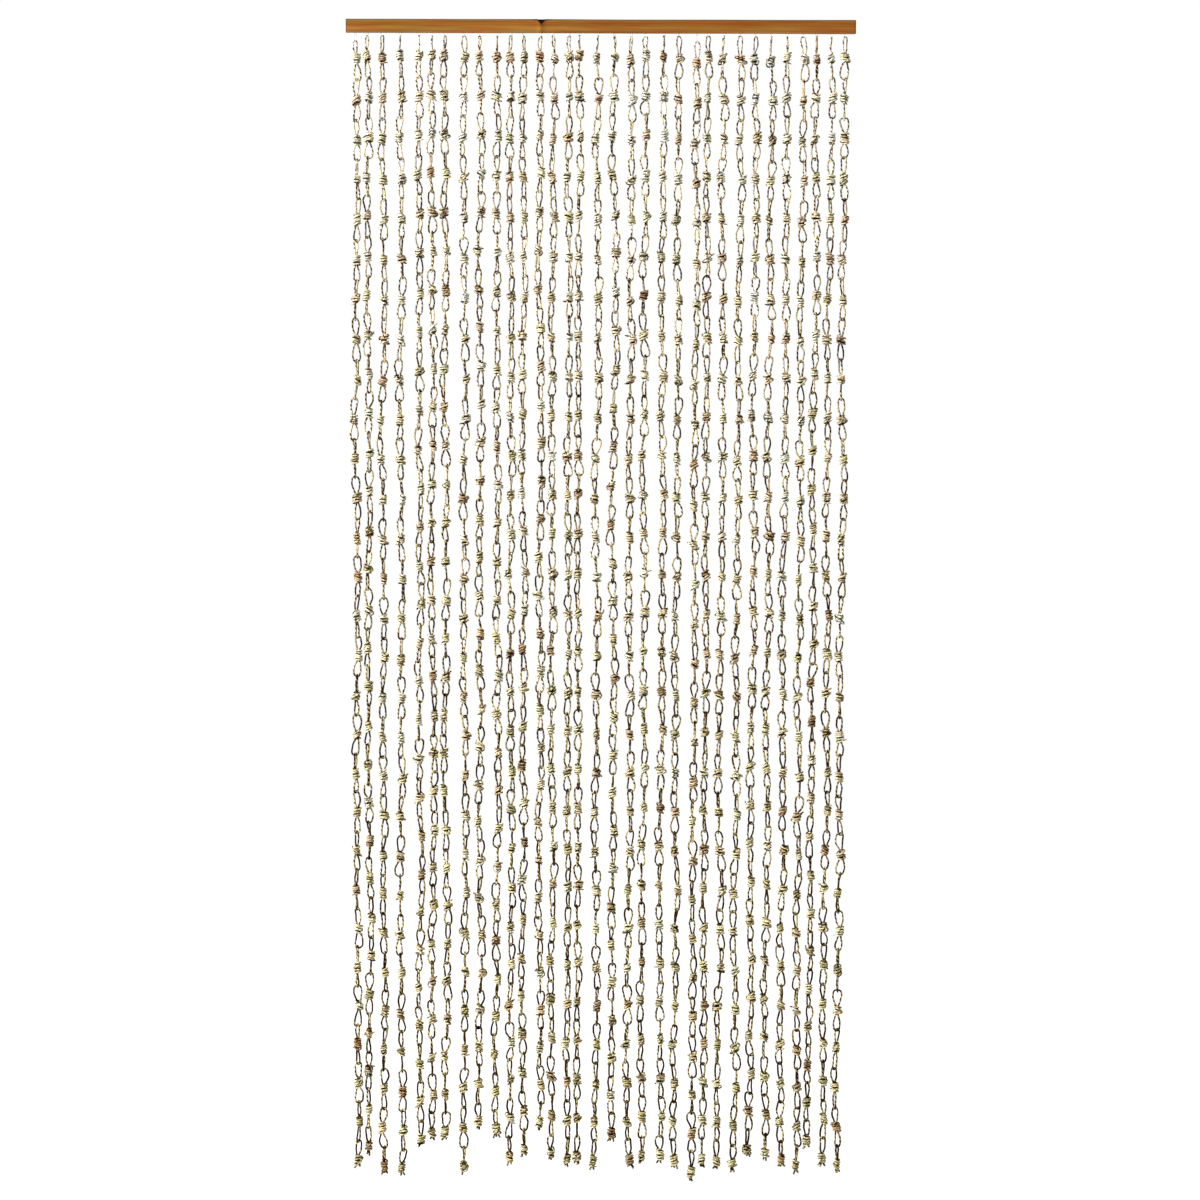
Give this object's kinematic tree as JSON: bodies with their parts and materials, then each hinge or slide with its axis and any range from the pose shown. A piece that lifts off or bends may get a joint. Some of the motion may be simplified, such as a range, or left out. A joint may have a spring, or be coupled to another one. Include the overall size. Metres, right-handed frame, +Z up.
{
  "type": "paper curtain on a bamboo batten",
  "caption": "Door curtain of knotted paper-cord chains that hang side by side under a flat bamboo batten.",
  "frame": {"origin": "the middle of the batten's top face, where a lintel would meet it", "axes": "+X to the right along the batten, +Z up and -Z down the chains, and -Y out of the front, which the picture shows"},
  "size_m": [0.9, 0.0152, 2.0771],
  "materials": {
    "bamboo": "satin",
    "cord": "matte",
    "wire": "satin"
  },
  "bodies": {
    "root": {"batten": "bamboo", "strand_01": "cord", "strand_02": "cord", "strand_03": "cord", "strand_04": "cord", "strand_05": "cord", "strand_06": "cord", "strand_07": "cord", "strand_08": "cord", "strand_09": "cord", "strand_10": "cord", "strand_11": "cord", "strand_12": "cord", "strand_13": "cord", "strand_14": "cord", "strand_15": "cord", "strand_16": "cord", "strand_17": "cord", "strand_18": "cord", "strand_19": "cord", "strand_20": "cord", "strand_21": "cord", "strand_22": "cord", "strand_23": "cord", "strand_24": "cord", "strand_25": "cord", "strand_26": "cord", "strand_27": "cord", "strand_28": "cord", "strand_29": "cord", "strand_30": "cord", "strand_31": "cord", "strand_32": "cord", "strand_33": "cord"}
  },
  "joints": []
}
